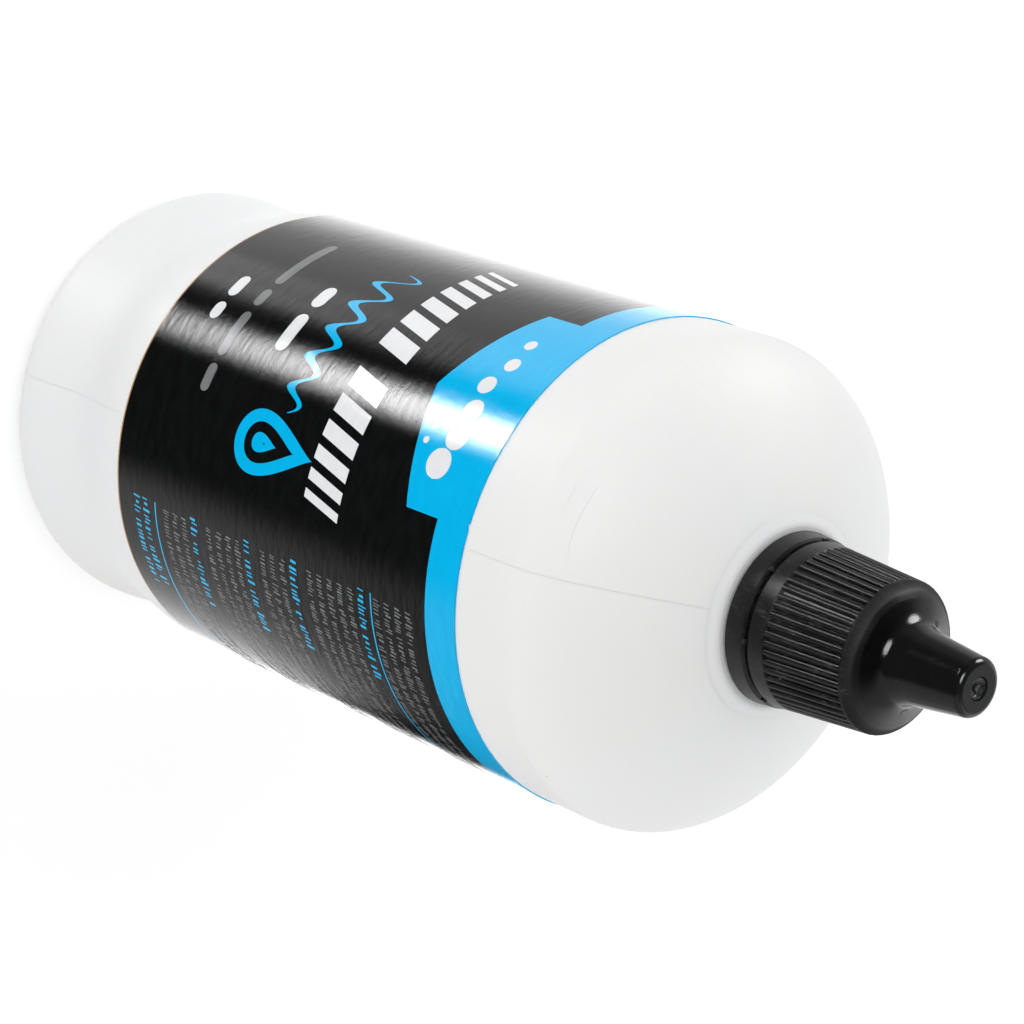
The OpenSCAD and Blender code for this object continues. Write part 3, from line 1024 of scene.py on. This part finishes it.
# %% Floor
FLOOR_HALF = 3.0
PAPER_GLOW = 0.3
corners = [(x * FLOOR_HALF, y * FLOOR_HALF, 0.0) for x, y in ((-1, -1), (1, -1), (1, 1), (-1, 1))]
floor_mesh = bpy.data.meshes.new("floor")
floor_mesh.from_pydata(corners, [], [(0, 1, 2, 3)])
floor = bpy.data.objects.new("floor", floor_mesh)
bpy.context.scene.collection.objects.link(floor)
paper = bpy.data.materials.new("floor_paper")
paper.use_nodes = True
paper_tree = paper.node_tree
paper_shader = paper_tree.nodes["Principled BSDF"]
fill(paper_tree, paper_shader, Base_Color=(0.9, 0.9, 0.9, 1.0), Roughness=0.9, Specular_IOR_Level=0.0)
paper_path = paper_tree.nodes.new("ShaderNodeLightPath").outputs
seen = math_node(paper_tree, "MAXIMUM", paper_path["Is Camera Ray"], paper_path["Is Transmission Ray"])
glow = product(paper_tree, seen, PAPER_GLOW)
fill(paper_tree, paper_shader, Emission_Color=(1.0, 1.0, 1.0, 1.0), Emission_Strength=glow)
floor_mesh.materials.append(paper)
floor.visible_glossy = False
print("floor", 2 * FLOOR_HALF, "m across")

# %% [markdown]
# ## Studio
# A white room lights the bottle softly from all round, and one broad lamp low on the left gives its
# form. What a black gloss shows is the room itself, so for reflections the world is painted as the
# room is: a pale table and wall to the left and behind, a dark gap in front with a narrow strip lamp
# beside it, and grey to the right. Two small lamps hang higher up, and two faint lights stand low.
# Bearings are in degrees from the label's front, and heights run from -1 below to 1 overhead.

# %% World
world = bpy.data.worlds.new("studio")
bpy.context.scene.world = world
world.use_nodes = True
sky = world.node_tree
sky.nodes.clear()
look = sky.nodes.new("ShaderNodeTexCoord").outputs["Generated"]
parts = sky.nodes.new("ShaderNodeSeparateXYZ")
sky.links.new(look, parts.inputs[0])
bearing = math_node(sky, "ARCTAN2", parts.outputs["X"], product(sky, parts.outputs["Y"], -1.0))
bearing = product(sky, bearing, 180.0 / math.pi)
height = parts.outputs["Z"]


def edge(value, start, end):
    """A soft edge: 0 at one bearing or height, 1 at the other."""
    return stepped(sky, value, start, end)


def steps_of_light(*steps):
    """Light that grows in steps. Each is the bearing before it, the bearing after it, and how much."""
    return total(sky, *[product(sky, edge(bearing, before, after), much) for before, after, much in steps])


STRIP_STRENGTH = 20.0
DARK_ROOM = 0.02          # what is left where there is no light
left_table = steps_of_light((-31.0, -42.0, 0.85), (-88.0, -125.0, 0.95))
left_wall = steps_of_light((-30.0, -60.0, 0.15), (-70.0, -95.0, 0.35), (-125.0, -150.0, 0.5))
right_table = steps_of_light((60.0, 84.0, 0.62), (110.0, 165.0, 0.6))
right_wall = steps_of_light((66.0, 84.0, 0.36), (150.0, 178.0, 0.7))
walls = total(sky, product(sky, left_wall, edge(height, 0.72, 0.4)),
              product(sky, right_wall, edge(height, 0.96, 0.7)), product(sky, edge(height, 0.98, 0.7), 0.09))
strip = product(sky, edge(bearing, -18.0, -14.0), edge(bearing, -1.0, -6.0), edge(height, -0.45, -0.62))
strip = product(sky, strip, total(sky, edge(height, -0.793, -0.752), 0.035))
room = total(sky, product(sky, edge(height, -0.62, -0.70), left_table),
             product(sky, edge(height, -0.70, -0.62), walls),
             product(sky, edge(height, -0.735, -0.748), right_table),
             product(sky, strip, STRIP_STRENGTH), DARK_ROOM)

# %% Lamps in the reflections
# Each lamp is its bearing, its height, half its width, all in degrees, and its strength.
ROOM_LAMPS = ((-93.5, 24.9, 11.0, 10.5), (1.0, 55.3, 11.5, 9.5),
              (-53.0, -55.0, 5.0, 0.6), (-41.0, -52.6, 2.2, 1.2))


def towards(around, above):
    """How nearly a direction of the room points at a bearing and a height in degrees, 1 where it does."""
    node = sky.nodes.new("ShaderNodeVectorMath")
    node.operation = "DOT_PRODUCT"
    sky.links.new(look, node.inputs[0])
    node.inputs[1].default_value = direction(around, above)
    return node.outputs["Value"]


for around, above, half, strength in ROOM_LAMPS:
    inner, outer = math.cos(math.radians(half)), math.cos(math.radians(half * 1.3))
    room = total(sky, room, product(sky, stepped(sky, towards(around, above), outer, inner), strength))
print("lamps in the reflections:", len(ROOM_LAMPS))

# %% [markdown]
# The soft light on matt surfaces is a little brighter on the left and darker overhead. A Light Path
# node tells the rays apart: the camera sees plain white, and a reflection sees the painted room.

# %% Soft light
AMBIENT = 1.5
LEFT_GAIN = 0.09          # how much brighter the room is on the left, and darker on the right
CEILING_LOSS = 0.98       # how much darker it is straight overhead
path = sky.nodes.new("ShaderNodeLightPath").outputs
overhead = math_node(sky, "MAXIMUM", height, 0.0)
ambient = total(sky, AMBIENT, product(sky, towards(VIEW_ROUND - 90.0, 0.0), LEFT_GAIN),
                product(sky, overhead, -CEILING_LOSS))
seen = math_node(sky, "MAXIMUM", path["Is Camera Ray"], path["Is Transmission Ray"])
strength = ambient
for ray, other in ((seen, 1.0), (path["Is Glossy Ray"], room)):
    chosen = sky.nodes.new("ShaderNodeMix")
    chosen.data_type = "FLOAT"
    for number, value in ((0, ray), (2, strength), (3, other)):
        put(sky, chosen.inputs[number], value)
    strength = chosen.outputs[0]
background = sky.nodes.new("ShaderNodeBackground")
fill(sky, background, Color=(1.0, 1.0, 1.0, 1.0), Strength=strength)
output = sky.nodes.new("ShaderNodeOutputWorld")
sky.links.new(background.outputs[0], output.inputs["Surface"])

# %% Key lamp
KEY_WIDE = 1.2
KEY_AWAY = 1.2
to_key = direction(-50.0, 22.0)
key_data = bpy.data.lights.new("key", "AREA")
key_data.shape = "RECTANGLE"
key_data.size = KEY_WIDE
key_data.size_y = KEY_WIDE
key_data.energy = 0.6
key = bpy.data.objects.new("key", key_data)
bpy.context.scene.collection.objects.link(key)
key.location = Vector((0.0, 0.0, 60.0 * MM)) + to_key * KEY_AWAY
key.rotation_mode = "QUATERNION"
key.rotation_quaternion = to_key.to_track_quat("Z", "Y")
key.visible_glossy = False
print("lamps:", [item.name for item in bpy.data.lights], "ambient", AMBIENT)
